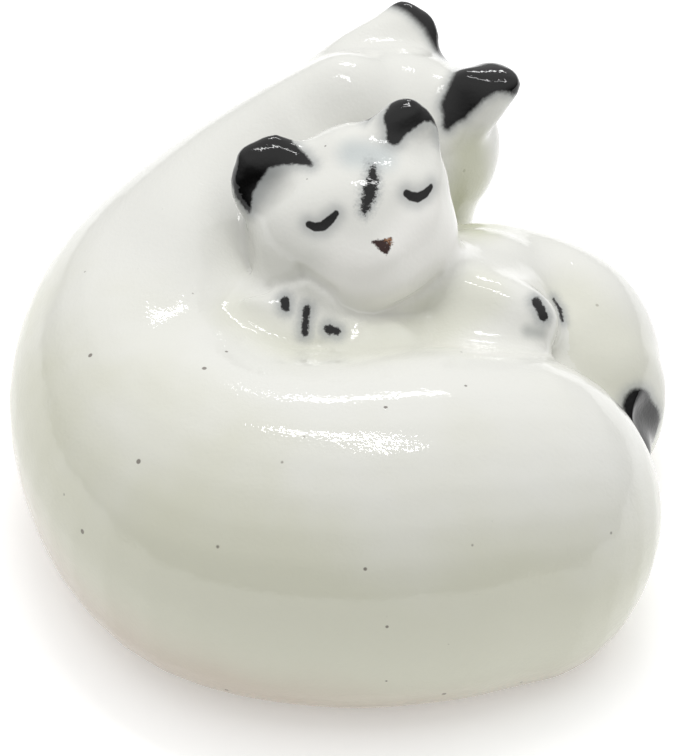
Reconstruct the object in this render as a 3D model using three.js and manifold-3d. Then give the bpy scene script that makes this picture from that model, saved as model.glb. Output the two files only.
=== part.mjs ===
// Ceramic figurine: a mother cat curled round her sleeping kitten.
// The figurine is slip cast in sections that are luted together with slip before firing, so every
// section is a solid of its own here. Millimetres, +Z up, the kitten's face looks towards -Y.
import * as THREE from 'three';
import { mergeVertices } from 'three/addons/utils/BufferGeometryUtils.js';
import Module from 'manifold-3d';

const wasm = await Module();
wasm.setup();

// ---- Driving sizes -------------------------------------------------------------------------

const BODY_LENGTH = 66; // left flank to right flank of the curled mother, on the foot
const BODY_DEPTH = 66; // front of the rump to the back of the neck
const BODY_HEIGHT = 28; // foot to the crest of the rump
const WALL = 2.6; // cast wall of the mother's body
const VENT_RADIUS = 1.6; // hole in the foot that lets air out of the hollow body in the kiln
const LUTING_GAP = 0.3; // slip joint left open between two sections
const MOTHER_HEAD_WIDTH = 21; // across the cheeks
const KITTEN_HEAD_WIDTH = 20.4; // across the cheeks
const MOTHER_EAR_HEIGHT = 8.2; // the part inside the head included
const KITTEN_EAR_HEIGHT = 6.2;

// ---- Materials -----------------------------------------------------------------------------

const whiteGlaze = new THREE.MeshStandardMaterial({ color: 0xe9e8dc, roughness: 0.08, metalness: 0 });
const blackGlaze = new THREE.MeshStandardMaterial({ color: 0x0a0a0a, roughness: 0.06, metalness: 0 });

// ---- Solids --------------------------------------------------------------------------------

// A manifold of a mesh in the frame of the figurine.
function solidOf(mesh) {
  mesh.updateWorldMatrix(true, false);
  const bare = mesh.geometry.clone().applyMatrix4(mesh.matrixWorld);
  bare.deleteAttribute('normal');
  bare.deleteAttribute('uv');
  const merged = mergeVertices(bare, 1e-4);
  return new wasm.Manifold(
    new wasm.Mesh({
      numProp: 3,
      vertProperties: merged.attributes.position.array,
      triVerts: new Uint32Array(merged.index.array),
    }),
  );
}

// Puts a manifold back on a mesh, in the mesh's own frame.
function setSolid(mesh, solid) {
  const { vertProperties, triVerts } = solid.getMesh();
  mesh.geometry = new THREE.BufferGeometry()
    .setAttribute('position', new THREE.BufferAttribute(vertProperties, 3))
    .setIndex(new THREE.BufferAttribute(triVerts, 1))
    .applyMatrix4(mesh.matrixWorld.clone().invert());
  mesh.geometry.computeVertexNormals();
}

function carve(mesh, cutters) {
  const cut = cutters.map(solidOf).reduce((solid, cutter) => solid.subtract(cutter), solidOf(mesh));
  setSolid(mesh, largest(cut));
  return mesh;
}

function fuse(mesh, others) {
  setSolid(mesh, others.map(solidOf).reduce((solid, other) => solid.add(other), solidOf(mesh)));
  return mesh;
}

// The largest body of a cut, without the crumbs.
function largest(solid) {
  return solid.decompose().reduce((best, body) => (body.volume() > best.volume() ? body : best));
}

// ---- Forms ---------------------------------------------------------------------------------

// A long rounded form: a capsule bent along stations of [x, y, z, half width, half height].
// Below its middle the section is squarer, so that the form stands with upright sides.
function bentForm(stations, { around = 24, rings = 20, caps = 6, grow = 0, foot = 2, blunt = 1 } = {}) {
  const spine = new THREE.CatmullRomCurve3(stations.map(([x, y, z]) => new THREE.Vector3(x, y, z)));
  const girth = new THREE.CatmullRomCurve3(stations.map(([, , , w, h]) => new THREE.Vector3(w, h, 0)));
  const form = new THREE.CapsuleGeometry(1, 1, caps, around, rings);
  const place = form.attributes.position;
  const up = new THREE.Vector3(0, 0, 1);
  const at = new THREE.Vector3();
  for (let i = 0; i < place.count; i++) {
    at.fromBufferAttribute(place, i);
    const t = THREE.MathUtils.clamp(at.y + 0.5, 0, 1);
    const beyond = at.y + 0.5 - t;
    const ahead = spine.getTangent(t);
    const side = new THREE.Vector3().crossVectors(ahead, up).normalize();
    const over = new THREE.Vector3().crossVectors(side, ahead);
    const { x: wide, y: high } = girth.getPoint(t);
    if (at.z < 0 && foot > 2) {
      const r = Math.hypot(at.x, at.z);
      const squarer = r / (Math.abs(at.x) ** foot + Math.abs(at.z) ** foot) ** (1 / foot);
      at.x *= squarer;
      at.z *= squarer;
    }
    const p = spine.getPoint(t)
      .addScaledVector(ahead, (Math.min(wide, high) * blunt + grow) * beyond)
      .addScaledVector(side, at.x * (wide + grow))
      .addScaledVector(over, at.z * (high + grow));
    place.setXYZ(i, p.x, p.y, p.z);
  }
  return form;
}

// A ball whose points are moved by a rule in its own frame.
function shapedBall(radii, { around = 28, rings = 20, grow = 0, box = 2 } = {}, rule = () => {}) {
  const ball = new THREE.SphereGeometry(1, around, rings);
  ball.rotateX(Math.PI / 2);
  const place = ball.attributes.position;
  const p = new THREE.Vector3();
  const radius = new THREE.Vector3(...radii).addScalar(grow);
  for (let i = 0; i < place.count; i++) {
    p.fromBufferAttribute(place, i);
    const boxier = (Math.abs(p.x) ** box + Math.abs(p.y) ** box + Math.abs(p.z) ** box) ** (-1 / box);
    p.multiplyScalar(boxier).multiply(radius);
    rule(p);
    place.setXYZ(i, p.x, p.y, p.z);
  }
  return ball;
}

// Pushes a point by up to `by` where it is within about `reach` of `centre`.
function push(p, [cx, cy, cz], reach, [dx, dy, dz]) {
  const away = ((p.x - cx) ** 2 + (p.y - cy) ** 2 + (p.z - cz) ** 2) / reach ** 2;
  const share = Math.exp(-away);
  p.x += dx * share;
  p.y += dy * share;
  p.z += dz * share;
}

// ---- Mother --------------------------------------------------------------------------------

// The curl runs from the end of the rump, round the front and the left flank, up to the nape.
// Stations are shares of the body's length, depth and height.
const MOTHER_CURL = scaled([
  [0.238, -0.245, 0.42, 0.236, 0.53],
  [0.125, -0.268, 0.45, 0.25, 0.55],
  [0, -0.285, 0.45, 0.242, 0.55],
  [-0.16, -0.245, 0.45, 0.237, 0.54],
  [-0.282, -0.07, 0.45, 0.215, 0.52],
  [-0.275, 0.125, 0.48, 0.21, 0.51],
  [-0.165, 0.285, 0.54, 0.195, 0.53],
  [-0.03, 0.375, 0.62, 0.17, 0.58],
  [0.065, 0.42, 0.74, 0.14, 0.56],
]);

function scaled(stations) {
  return stations.map(([x, y, z, wide, high]) => [
    x * BODY_LENGTH,
    y * BODY_DEPTH,
    z * BODY_HEIGHT,
    wide * BODY_LENGTH,
    high * BODY_HEIGHT,
  ]);
}

// Everything under the foot is trimmed off.
function ground(level = 0) {
  const slab = new THREE.Mesh(new THREE.BoxGeometry(3 * BODY_LENGTH, 3 * BODY_DEPTH, BODY_HEIGHT));
  slab.position.z = level - BODY_HEIGHT / 2;
  return slab;
}

// The curl with the lap that fills its middle, grown or shrunk all round.
function motherForm(grow, level) {
  const curl = bentForm(MOTHER_CURL, { around: 32, rings: 44, caps: 7, grow, foot: 2.8 });
  const mesh = new THREE.Mesh(curl, whiteGlaze);
  mesh.name = 'mother_body';
  const lap = new THREE.Mesh(shapedBall([0.25 * BODY_LENGTH, 0.24 * BODY_DEPTH, 0.52 * BODY_HEIGHT], { grow }));
  lap.position.set(0.03 * BODY_LENGTH, 0, 0.31 * BODY_HEIGHT);
  fuse(mesh, [lap]);
  return carve(mesh, [ground(level)]);
}

function motherBody() {
  const hollow = motherForm(-WALL, WALL);
  const vent = new THREE.Mesh(new THREE.CylinderGeometry(VENT_RADIUS, VENT_RADIUS, 3 * WALL, 32));
  vent.rotation.x = Math.PI / 2;
  vent.position.set(MOTHER_CURL[4][0], MOTHER_CURL[4][1], 0);
  return carve(motherForm(0, 0), [hollow, vent]);
}

// ---- Heads and ears ------------------------------------------------------------------------

// A head's own frame: the face looks along +X, its left is +Y and its crown +Z.
function turn(object, { at, yaw, pitch, roll }) {
  object.position.set(...at);
  object.rotation.set(...[roll, pitch, yaw].map(THREE.MathUtils.degToRad), 'ZYX');
  object.updateMatrixWorld(true);
  return object;
}

// An ear in its head's frame: a rounded cone with a cup pressed into its front.
function ear(pose, side, { height, width, thick, at: [back, out, up], lean, splay, twist }, glaze) {
  const taper = (narrow) => (p) => {
    const t = THREE.MathUtils.clamp(p.z / height, 0, 1);
    p.y *= 1 - narrow * t * t;
  };
  const shell = new THREE.Mesh(
    shapedBall([thick, width, height], { around: 24, rings: 16, box: 2.2 }, taper(0.35)), glaze);
  const cup = new THREE.Mesh(shapedBall([thick, width * 0.7, height * 0.78], { around: 20, rings: 12 }, taper(0.45)));
  cup.position.x = thick * 1.15;
  carve(shell, [cup]);
  const head = turn(new THREE.Object3D(), pose);
  const root = turn(new THREE.Object3D(), {
    at: [back, out * side, up], yaw: twist * side, pitch: lean, roll: -splay * side,
  });
  head.matrixWorld.clone().multiply(root.matrixWorld).decompose(shell.position, shell.quaternion, shell.scale);
  shell.updateMatrixWorld(true);
  return shell;
}

const MOTHER_HEAD = { at: [0.11 * BODY_LENGTH, 0.44 * BODY_DEPTH, 0.84 * BODY_HEIGHT], yaw: 40, pitch: 42, roll: 0 };

function motherHead(grow = 0) {
  const half = MOTHER_HEAD_WIDTH / 2;
  const form = shapedBall([half, half, 0.9 * half], { grow, box: 2.1 }, (p) => {
    push(p, [half, 0, -0.3 * half], 0.6 * half, [0.25 * half, 0, -0.05 * half]);
  });
  const mesh = new THREE.Mesh(form, whiteGlaze);
  mesh.name = 'mother_head';
  return turn(mesh, MOTHER_HEAD);
}

const MOTHER_EAR = {
  height: MOTHER_EAR_HEIGHT, width: 0.6 * MOTHER_EAR_HEIGHT, thick: 0.32 * MOTHER_EAR_HEIGHT,
  at: [-0.04 * MOTHER_HEAD_WIDTH, 0.27 * MOTHER_HEAD_WIDTH, 0.27 * MOTHER_HEAD_WIDTH],
  lean: 0, splay: 34, twist: 25,
};

const KITTEN_HEAD = {
  at: [0.023 * BODY_LENGTH, 0.1 * BODY_DEPTH, 0.97 * BODY_HEIGHT], yaw: -82, pitch: -20, roll: 15,
};

function kittenHead(grow = 0) {
  const half = KITTEN_HEAD_WIDTH / 2;
  const form = shapedBall([0.84 * half, half, 0.84 * half], { grow, box: 2.5 }, (p) => {
    push(p, [0.84 * half, 0, -0.25 * half], 0.45 * half, [0.17 * half, 0, 0]);
  });
  const mesh = new THREE.Mesh(form, whiteGlaze);
  mesh.name = 'kitten_head';
  return turn(mesh, KITTEN_HEAD);
}

const KITTEN_EAR = {
  height: KITTEN_EAR_HEIGHT, width: 0.58 * KITTEN_EAR_HEIGHT, thick: 0.4 * KITTEN_EAR_HEIGHT,
  at: [-0.04 * KITTEN_HEAD_WIDTH, 0.33 * KITTEN_HEAD_WIDTH, 0.3 * KITTEN_HEAD_WIDTH],
  lean: 0, splay: 14, twist: 15,
};

// ---- Kitten --------------------------------------------------------------------------------

// The kitten's back, from behind its head round to its rump.
const KITTEN_CURL = scaled([
  [0.12, 0.21, 0.36, 0.11, 0.4],
  [0.26, 0.22, 0.33, 0.13, 0.42],
  [0.375, 0.14, 0.33, 0.13, 0.42],
  [0.402, 0.035, 0.3, 0.115, 0.38],
]);

function kittenBody(grow = 0) {
  const mesh = new THREE.Mesh(bentForm(KITTEN_CURL, { around: 28, rings: 18, grow, foot: 2.8 }), whiteGlaze);
  mesh.name = 'kitten_body';
  return carve(mesh, [ground()]);
}

const KITTEN_TAIL = scaled([
  [0.424, 0.015, 0.52, 0.047, 0.12],
  [0.444, -0.025, 0.43, 0.047, 0.12],
  [0.44, -0.07, 0.3, 0.045, 0.11],
]);

function kittenTail() {
  const mesh = new THREE.Mesh(bentForm(KITTEN_TAIL, { around: 16, rings: 8, caps: 4 }), blackGlaze);
  mesh.name = 'kitten_tail';
  return mesh;
}

const LEFT_PAW = scaled([
  [0.16, 0.04, 0.8, 0.045, 0.11], [0.235, 0.01, 0.83, 0.05, 0.11], [0.285, -0.015, 0.8, 0.05, 0.11],
]);
const RIGHT_PAW = scaled([
  [-0.15, 0.04, 0.74, 0.05, 0.11], [-0.115, -0.03, 0.8, 0.062, 0.115], [-0.07, -0.07, 0.79, 0.062, 0.1],
]);

function paw(name, stations) {
  const mesh = new THREE.Mesh(bentForm(stations, { around: 20, rings: 8, caps: 5 }), whiteGlaze);
  mesh.name = name;
  return mesh;
}

// ---- Assembly ------------------------------------------------------------------------------

const figurine = new THREE.Group();
const lap = motherForm(LUTING_GAP, -LUTING_GAP);
const motherSeat = motherHead(LUTING_GAP);
const kittenBack = kittenBody(LUTING_GAP);
const kittenSeat = kittenHead(LUTING_GAP);

function add(mesh, name, neighbours) {
  mesh.name = name;
  figurine.add(neighbours.length ? carve(mesh, neighbours) : mesh);
}

add(motherBody(), 'mother_body', []);
add(motherHead(), 'mother_head', [lap]);
add(ear(MOTHER_HEAD, 1, MOTHER_EAR, whiteGlaze), 'mother_left_ear', [lap, motherSeat]);
add(ear(MOTHER_HEAD, -1, MOTHER_EAR, blackGlaze), 'mother_right_ear', [lap, motherSeat]);
add(kittenBody(), 'kitten_body', [lap, motherSeat]);
add(kittenHead(), 'kitten_head', [lap, motherSeat, kittenBack]);
add(ear(KITTEN_HEAD, 1, KITTEN_EAR, blackGlaze), 'kitten_left_ear', [lap, motherSeat, kittenSeat]);
add(ear(KITTEN_HEAD, -1, KITTEN_EAR, blackGlaze), 'kitten_right_ear', [lap, motherSeat, kittenSeat]);
add(kittenTail(), 'kitten_tail', [lap, kittenBack]);
add(paw('kitten_left_paw', LEFT_PAW), 'kitten_left_paw', [lap, kittenBack, kittenSeat]);
add(paw('kitten_right_paw', RIGHT_PAW), 'kitten_right_paw', [lap, kittenBack, kittenSeat]);

// The foot's middle is the origin.
const bounds = new THREE.Box3().setFromObject(figurine, true);
figurine.position.set(-(bounds.min.x + bounds.max.x) / 2, -(bounds.min.y + bounds.max.y) / 2, 0);

export default figurine;
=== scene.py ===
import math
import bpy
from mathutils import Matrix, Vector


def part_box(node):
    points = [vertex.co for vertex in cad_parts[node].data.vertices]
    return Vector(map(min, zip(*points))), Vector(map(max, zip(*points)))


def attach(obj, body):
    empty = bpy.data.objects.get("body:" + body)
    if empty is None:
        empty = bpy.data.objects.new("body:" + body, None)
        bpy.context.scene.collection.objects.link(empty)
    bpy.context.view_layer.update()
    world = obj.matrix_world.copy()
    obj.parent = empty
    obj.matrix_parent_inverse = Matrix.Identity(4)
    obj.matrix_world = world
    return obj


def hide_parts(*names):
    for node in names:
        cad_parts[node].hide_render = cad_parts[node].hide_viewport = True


bl_info = {
    "name": "Glazed cat figurine",
    "version": (1, 0, 0),
    "blender": (4, 5, 0),
    "location": "3D View > Sidebar > Figurine",
    "description": "Glazes and paints the luted sections of a ceramic mother cat and her kitten",
    "category": "Object",
}

import bmesh
import bpy
import numpy as np
from bpy.props import FloatProperty, FloatVectorProperty, IntProperty, PointerProperty
from bpy.types import Operator, Panel, PropertyGroup
from mathutils import Euler, Matrix, Quaternion, Vector
from mathutils.bvhtree import BVHTree

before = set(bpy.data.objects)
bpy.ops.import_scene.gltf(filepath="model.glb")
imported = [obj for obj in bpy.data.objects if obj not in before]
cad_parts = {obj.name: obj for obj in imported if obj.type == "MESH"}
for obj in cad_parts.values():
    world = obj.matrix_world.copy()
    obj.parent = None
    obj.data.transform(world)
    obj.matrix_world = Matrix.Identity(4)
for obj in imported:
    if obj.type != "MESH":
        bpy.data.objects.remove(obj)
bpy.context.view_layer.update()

MM = 0.001
MOTHER_EARS = ("mother_left_ear", "mother_right_ear")
KITTEN_EARS = ("kitten_left_ear", "kitten_right_ear")
PAWS = ("kitten_left_paw", "kitten_right_paw")


# ---- Sizes and colours a user would change ---------------


class FigurineSkinSettings(PropertyGroup):
    voxel: FloatProperty(
        name="Skin detail", description="Size of the cells the glazed skin is gathered on",
        default=0.36 * MM, min=0.2 * MM, max=1.0 * MM, subtype="DISTANCE", unit="LENGTH",
    )
    glaze: FloatProperty(
        name="Glaze thickness", description="How far the glaze swells over the biscuit before it is smoothed",
        default=0.24 * MM, subtype="DISTANCE", unit="LENGTH",
    )
    pooling: IntProperty(
        name="Pooling", description="Passes of glaze running into the joints between the sections",
        default=110, min=0,
    )
    wall: FloatProperty(
        name="Wall", description="Cast wall of the mother's body",
        default=2.4 * MM, subtype="DISTANCE", unit="LENGTH",
    )
    thin_wall: FloatProperty(
        name="Thin wall", description="Wall of the small sections",
        default=0.6 * MM, subtype="DISTANCE", unit="LENGTH",
    )


class FigurineGlazeSettings(PropertyGroup):
    white: FloatVectorProperty(
        name="White glaze", description="Clear glaze over the white body", subtype="COLOR",
        size=4, default=(0.81, 0.81, 0.765, 1), min=0, max=1,
    )
    black: FloatVectorProperty(
        name="Black glaze", description="Brushed black of the ears, tail and marks", subtype="COLOR",
        size=4, default=(0.004, 0.004, 0.004, 1), min=0, max=1,
    )
    nose: FloatVectorProperty(
        name="Nose", description="Iron brown of the kitten's nose", subtype="COLOR",
        size=4, default=(0.030, 0.007, 0.004, 1), min=0, max=1,
    )


class FigurineStageSettings(PropertyGroup):
    distance: FloatProperty(
        name="Camera distance", description="From the lens to the middle of the figurine",
        default=0.18, subtype="DISTANCE", unit="LENGTH",
    )
    elevation: FloatProperty(
        name="Camera elevation", description="Angle above the table",
        default=math.radians(42), subtype="ANGLE", unit="ROTATION",
    )
    lens: FloatProperty(name="Lens", description="Focal length", default=84.43, unit="CAMERA")
    aim: FloatVectorProperty(
        name="Aim", description="Point the camera looks at", subtype="TRANSLATION", unit="LENGTH",
        size=3, default=(-0.375 * MM, -3.127 * MM, 14 * MM),
    )


# ---- Local frames of the two heads and their ears --------


def pose(at, yaw, pitch, roll):
    """Frame of a head in millimetres: the face looks along +X, its left is +Y and its crown +Z."""
    turn = Euler([math.radians(a) for a in (roll, pitch, yaw)], "XYZ")
    return Matrix.Translation(at) @ turn.to_matrix().to_4x4()


MOTHER_FACE = pose((6.885, 25.913, 23.52), 40, 42, 0)
KITTEN_FACE = pose((1.143, 3.473, 27.16), -82, -20, 15)
# Square on to the figurine's best side: x out towards the viewer, y to the right, z up.
VIEW = pose((0, 0, 24), -90, -42, 0)
WORLD = Matrix.Identity(4)


def ear_pose(face, side, at, splay, twist):
    """Frame of an ear on a head: side is 1 for the left one and -1 for the right one."""
    back, out, up = at
    return face @ pose((back, out * side, up), twist * side, 0, -splay * side)


KITTEN_EAR_POSE = {
    side: ear_pose(KITTEN_FACE, side, (-0.816, 6.73, 6.12), 14, 15) for side in (1, -1)
}


# ---- The glazed skin -------------------------------------


class Skin:
    """The outer surface of the whole figurine, as arrays in millimetres."""

    def __init__(self, mesh):
        count = len(mesh.vertices)
        self.co = np.empty(count * 3, np.float32)
        mesh.vertices.foreach_get("co", self.co)
        self.co = self.co.reshape(-1, 3).astype(float) / MM
        self.edges = np.empty(len(mesh.edges) * 2, np.int32)
        mesh.edges.foreach_get("vertices", self.edges)
        self.edges = self.edges.reshape(-1, 2)
        self.faces = np.empty(len(mesh.loops), np.int32)
        mesh.loops.foreach_get("vertex_index", self.faces)
        self.faces = self.faces.reshape(-1, 4)
        self.valence = np.bincount(self.edges.ravel(), minlength=count).astype(float)

    def normals(self):
        a, b, c, d = (self.co[self.faces[:, i]] for i in range(4))
        flat = np.cross(c - a, d - b)
        out = np.empty_like(self.co)
        for axis in range(3):
            out[:, axis] = np.bincount(
                self.faces.ravel(), np.repeat(flat[:, axis], 4), minlength=len(self.co)
            )
        return out / np.maximum(np.linalg.norm(out, axis=1), 1e-9)[:, None]

    def pull(self):
        """From each point to the mean of its neighbours."""
        i, j = self.edges[:, 0], self.edges[:, 1]
        out = np.empty_like(self.co)
        for axis in range(3):
            x = self.co[:, axis]
            out[:, axis] = np.bincount(i, x[j], minlength=len(x)) + np.bincount(j, x[i], minlength=len(x))
        return out / self.valence[:, None] - self.co

    def relax(self, passes, share):
        """Plain smoothing, share of the way at each pass; share may be one number a point."""
        share = np.broadcast_to(np.asarray(share, float), len(self.co))[:, None]
        for _ in range(passes):
            self.co += self.pull() * share

    def even(self, passes, share):
        """Smooths without shrinking: each pass in is followed by one out."""
        for _ in range(passes):
            self.relax(1, 0.5 * share)
            self.relax(1, -0.52 * share)

    def pool(self, passes, share, round_off):
        """Glaze runs into the hollow joints and thins a little on the edges."""
        share = np.broadcast_to(np.asarray(share, float), len(self.co))
        normal = self.normals()
        for k in range(passes):
            if k % 4 == 0:
                normal = self.normals()
            step = self.pull()
            depth = (step * normal).sum(1)
            keep = np.where(depth > 0, share, round_off)
            self.co += normal * (depth * keep)[:, None] + (step - normal * depth[:, None]) * 0.3

    def local(self, frame_of):
        """The points in a local frame, and the frame's inverse turn."""
        m = np.array(frame_of.inverted())
        return self.co @ m[:3, :3].T + m[:3, 3]

    def push(self, frame_of, at, reach, by):
        """Moves what lies within reach of a point, all three in a local frame."""
        away = (((self.local(frame_of) - at) / reach) ** 2).sum(1)
        share = np.exp(-away)
        turn = np.array(frame_of)[:3, :3]
        self.co += share[:, None] * (turn @ np.array(by, float))

    def soften(self, frame_of, at, reach, passes):
        """Rubs down what lies within reach of a point, with a wet sponge."""
        away = (((self.local(frame_of) - at) / reach) ** 2).sum(1)
        near = np.flatnonzero(away < 4)
        rank = np.full(len(self.co), -1)
        rank[near] = np.arange(len(near))
        inner = (rank[self.edges] >= 0).all(1)
        i, j = rank[self.edges[inner]].T
        count = np.maximum(np.bincount(i, minlength=len(near)) + np.bincount(j, minlength=len(near)), 1)
        share = (np.exp(-away[near]) * (count >= self.valence[near]))[:, None] * 0.9
        part = self.co[near]
        for k in range(passes):
            pull = np.empty_like(part)
            for axis in range(3):
                x = part[:, axis]
                pull[:, axis] = np.bincount(i, x[j], len(near)) + np.bincount(j, x[i], len(near))
            part += (pull / count[:, None] - part) * share
        self.co[near] = part

    def press(self, points, width, depth):
        """Presses a groove along a line of points, or raises a ridge where depth is negative."""
        points = np.array(points, float)
        near = np.full(len(self.co), 1e9)
        for a, b in zip(points[:-1], points[1:]):
            ab = b - a
            t = np.clip(((self.co - a) @ ab) / (ab @ ab), 0, 1)
            near = np.minimum(near, np.linalg.norm(self.co - a - t[:, None] * ab, axis=1))
        share = np.exp(-((near / width) ** 2))
        self.co -= self.normals() * (share * depth)[:, None]


def slip_dabs():
    """Dabs of slip that dress the joints before the glaze: frame, middle, radii, tilt in degrees."""
    return (
        # the kitten's crown, and the rolled rims of its ears
        (KITTEN_FACE, (-2.0, 1.5, 6.8), (5.5, 6.0, 3.9), 0),
        (VIEW, (2.0, -6.6, 10.3), (1.8, 3.9, 4.3), 0),
        (VIEW, (2.6, 7.2, 14.2), (1.6, 2.7, 3.7), 0),
        # the far ear running out into the nape, and the root of the near one
        (VIEW, (-20.0, 5.6, 26.4), (2.2, 5.5, 5.2), 0),
        (VIEW, (-20.0, 8.3, 28.3), (2.0, 2.9, 3.4), 0),
        (VIEW, (-19.6, 3.0, 25.9), (2.5, 4.4, 5.0), 0),
        (VIEW, (-19.4, 0.8, 25.0), (2.5, 4.6, 4.6), 0),
        (VIEW, (-19.0, -1.0, 23.8), (2.5, 5.0, 4.1), 0),
        (VIEW, (-11.5, 13.8, 20.8), (2.2, 3.6, 2.9), 0),
        # the lap between the kitten's shoulder, its right paw and the mother's rump
        (WORLD, (13.5, 1.5, 19.5), (7.5, 7.5, 5.6), 0),
        (WORLD, (14.0, 6.5, 18.6), (8.0, 7.0, 5.2), 0),
        (WORLD, (21.0, -2.0, 16.4), (4.5, 5.0, 3.6), 0),
        (WORLD, (15.0, -5.5, 21.8), (6.5, 3.2, 2.6), 0),
        # the shallow lap under the chin
        (WORLD, (2.6, -8.3, 22.8), (5.4, 2.5, 1.9), 0),
        # the left paw
        (VIEW, (5.0, -5.3, -3.9), (1.9, 5.4, 2.3), -18),
    )


def welded(node, swell):
    """A welded copy of a luted section, swollen so that it meets its neighbours."""
    bm = bmesh.new()
    bm.from_mesh(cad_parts[node].data)
    bmesh.ops.remove_doubles(bm, verts=bm.verts, dist=1e-6)
    bm.normal_update()
    for v in bm.verts:
        v.co += v.normal * swell
    return bm


# The vent's place across and along the body, how far it may lie from there, and the slice of the
# foot that counts as flat; in metres.
VENT_PLACE = (0.22, 0.375)
VENT_REACH = 5 * MM
FOOT_SLICE = 0.3 * MM


def vent_hole():
    """Middle and radius of the kiln vent in the mother's foot, in metres."""
    bm = welded("mother_body", 0)
    ring = [
        v.co.copy() for e in bm.edges
        if abs(e.verts[0].co.z) < 1e-6 and abs(e.verts[1].co.z) < 1e-6
        for f in e.link_faces if abs(f.normal.z) < 0.3 and f.calc_center_median().z < 4 * MM
        for v in e.verts
    ]
    bm.free()
    low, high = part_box("mother_body")
    across, along = VENT_PLACE
    near = Vector((low.x + across * (high.x - low.x), low.y + along * (high.y - low.y), 0))
    ring = [p for p in ring if (p - near).length < VENT_REACH]
    middle = sum(ring, Vector()) / len(ring)
    radius = max((p - middle).length for p in ring)
    return middle, radius


def gathered(settings):
    """One outer surface over all the sections."""
    bm = bmesh.new()
    for node in sorted(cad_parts):
        part = welded(node, settings.glaze)
        copy = bpy.data.meshes.new("section")
        part.to_mesh(copy)
        bm.from_mesh(copy)
        part.free()
        bpy.data.meshes.remove(copy)
    middle, radius = VENT
    bmesh.ops.create_cone(
        bm, cap_ends=True, segments=24, radius1=1.3 * radius, radius2=1.3 * radius, depth=2 * MM,
        matrix=Matrix.Translation((middle.x, middle.y, 1 * MM)),
    )
    for frame_of, at, radii, tilt in slip_dabs():
        place = frame_of @ Matrix.Translation(at) @ Matrix.Rotation(math.radians(tilt), 4, "X")
        place = Matrix.Scale(MM, 4) @ place @ Matrix.Diagonal((*radii, 1))
        bmesh.ops.create_icosphere(bm, subdivisions=4, radius=1, matrix=place)
    mesh = bpy.data.meshes.new("gathered")
    bm.to_mesh(mesh)
    bm.free()
    thing = bpy.data.objects.new("gathered", mesh)
    bpy.context.scene.collection.objects.link(thing)
    remesh = thing.modifiers.new("Voxels", "REMESH")
    remesh.mode = "VOXEL"
    remesh.voxel_size = settings.voxel
    remesh.adaptivity = 0
    solid = bpy.data.meshes.new_from_object(thing.evaluated_get(bpy.context.evaluated_depsgraph_get()))
    bpy.data.objects.remove(thing)
    outer_only(solid)
    return solid


def outer_only(mesh):
    """Keeps the largest connected surface, which is the outside."""
    bm = bmesh.new()
    bm.from_mesh(mesh)
    left = set(bm.verts)
    best = []
    while left:
        seed = left.pop()
        found, edge = [seed], [seed]
        while edge:
            reach = []
            for v in edge:
                for e in v.link_edges:
                    other = e.other_vert(v)
                    if other in left:
                        left.discard(other)
                        reach.append(other)
            found += reach
            edge = reach
        if len(found) > len(best):
            best = found
    keep = set(best)
    bmesh.ops.delete(bm, geom=[v for v in bm.verts if v not in keep], context="VERTS")
    bm.to_mesh(mesh)
    bm.free()


def section_of(points):
    """Name of the section nearest to each point, in millimetres."""
    names = sorted(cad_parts)
    verts, polys, owner = [], [], []
    for n, name in enumerate(names):
        bm = welded(name, 0)
        base = len(verts)
        verts += [v.co / MM for v in bm.verts]
        polys += [[base + v.index for v in f.verts] for f in bm.faces]
        owner += [n] * len(bm.faces)
        bm.free()
    tree = BVHTree.FromPolygons(verts, polys)
    return names, np.array([owner[tree.find_nearest(p)[2]] for p in points])


def settle(labels, pairs, passes):
    """Rounds off the borders between the sections by majority of neighbours."""
    kinds = labels.max() + 1
    for _ in range(passes):
        votes = np.zeros((len(labels), kinds))
        np.add.at(votes, (pairs[:, 0], labels[pairs[:, 1]]), 1)
        np.add.at(votes, (pairs[:, 1], labels[pairs[:, 0]]), 1)
        votes[np.arange(len(labels)), labels] += 1.5
        labels = votes.argmax(1)
    return labels


# Passes of the first smoothing, over the borders of the ears and over those of the sections.
FIRST_PASSES = 8
EAR_BORDER_PASSES = 12
BORDER_PASSES = 14
# Share of a hollow that one pass of glaze fills, how much less it is on the thin ears, and the
# share that one pass takes off an edge.
POOL_SHARE = 0.9
EAR_HOLD = 0.55
EDGE_LOSS = 0.10


def form_skin(settings):
    """Gathers, smooths and models the skin, and takes the glaze's swelling off again."""
    mesh = gathered(settings)
    skin = Skin(mesh)
    skin.even(FIRST_PASSES, 1.0)
    names, labels = section_of(skin.co)
    index = {n: i for i, n in enumerate(names)}
    ears = np.isin(labels, [index[n] for n in MOTHER_EARS + KITTEN_EARS]).astype(float)
    for _ in range(EAR_BORDER_PASSES):
        spread = np.bincount(skin.edges[:, 0], ears[skin.edges[:, 1]], len(ears))
        spread += np.bincount(skin.edges[:, 1], ears[skin.edges[:, 0]], len(ears))
        ears = 0.5 * ears + 0.5 * spread / skin.valence
    skin.pool(settings.pooling, POOL_SHARE - EAR_HOLD * ears, EDGE_LOSS)
    sculpt(skin)
    skin.co -= skin.normals() * (settings.glaze / MM)
    skin.co[:, 2] = np.maximum(skin.co[:, 2], 0)
    return mesh, skin, names


# Where the joints are sponged down: frame, middle, reach, passes.
SPONGED = (
    (VIEW, (2.5, -6.6, 13.2), (4.0, 4.0, 2.4), 50),
    (VIEW, (3.0, 7.2, 16.0), (4.0, 3.0, 2.5), 25),
    (VIEW, (-19.0, 2.5, 29.0), (5.0, 7.0, 4.5), 110),
    (VIEW, (-19.0, -3.5, 25.5), (5.0, 5.0, 4.0), 110),
    (WORLD, (15.0, 0.0, 24.0), (7.0, 6.0, 4.0), 60),
    (WORLD, (21.0, -2.0, 20.0), (4.0, 5.0, 4.0), 60),
)
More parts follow.
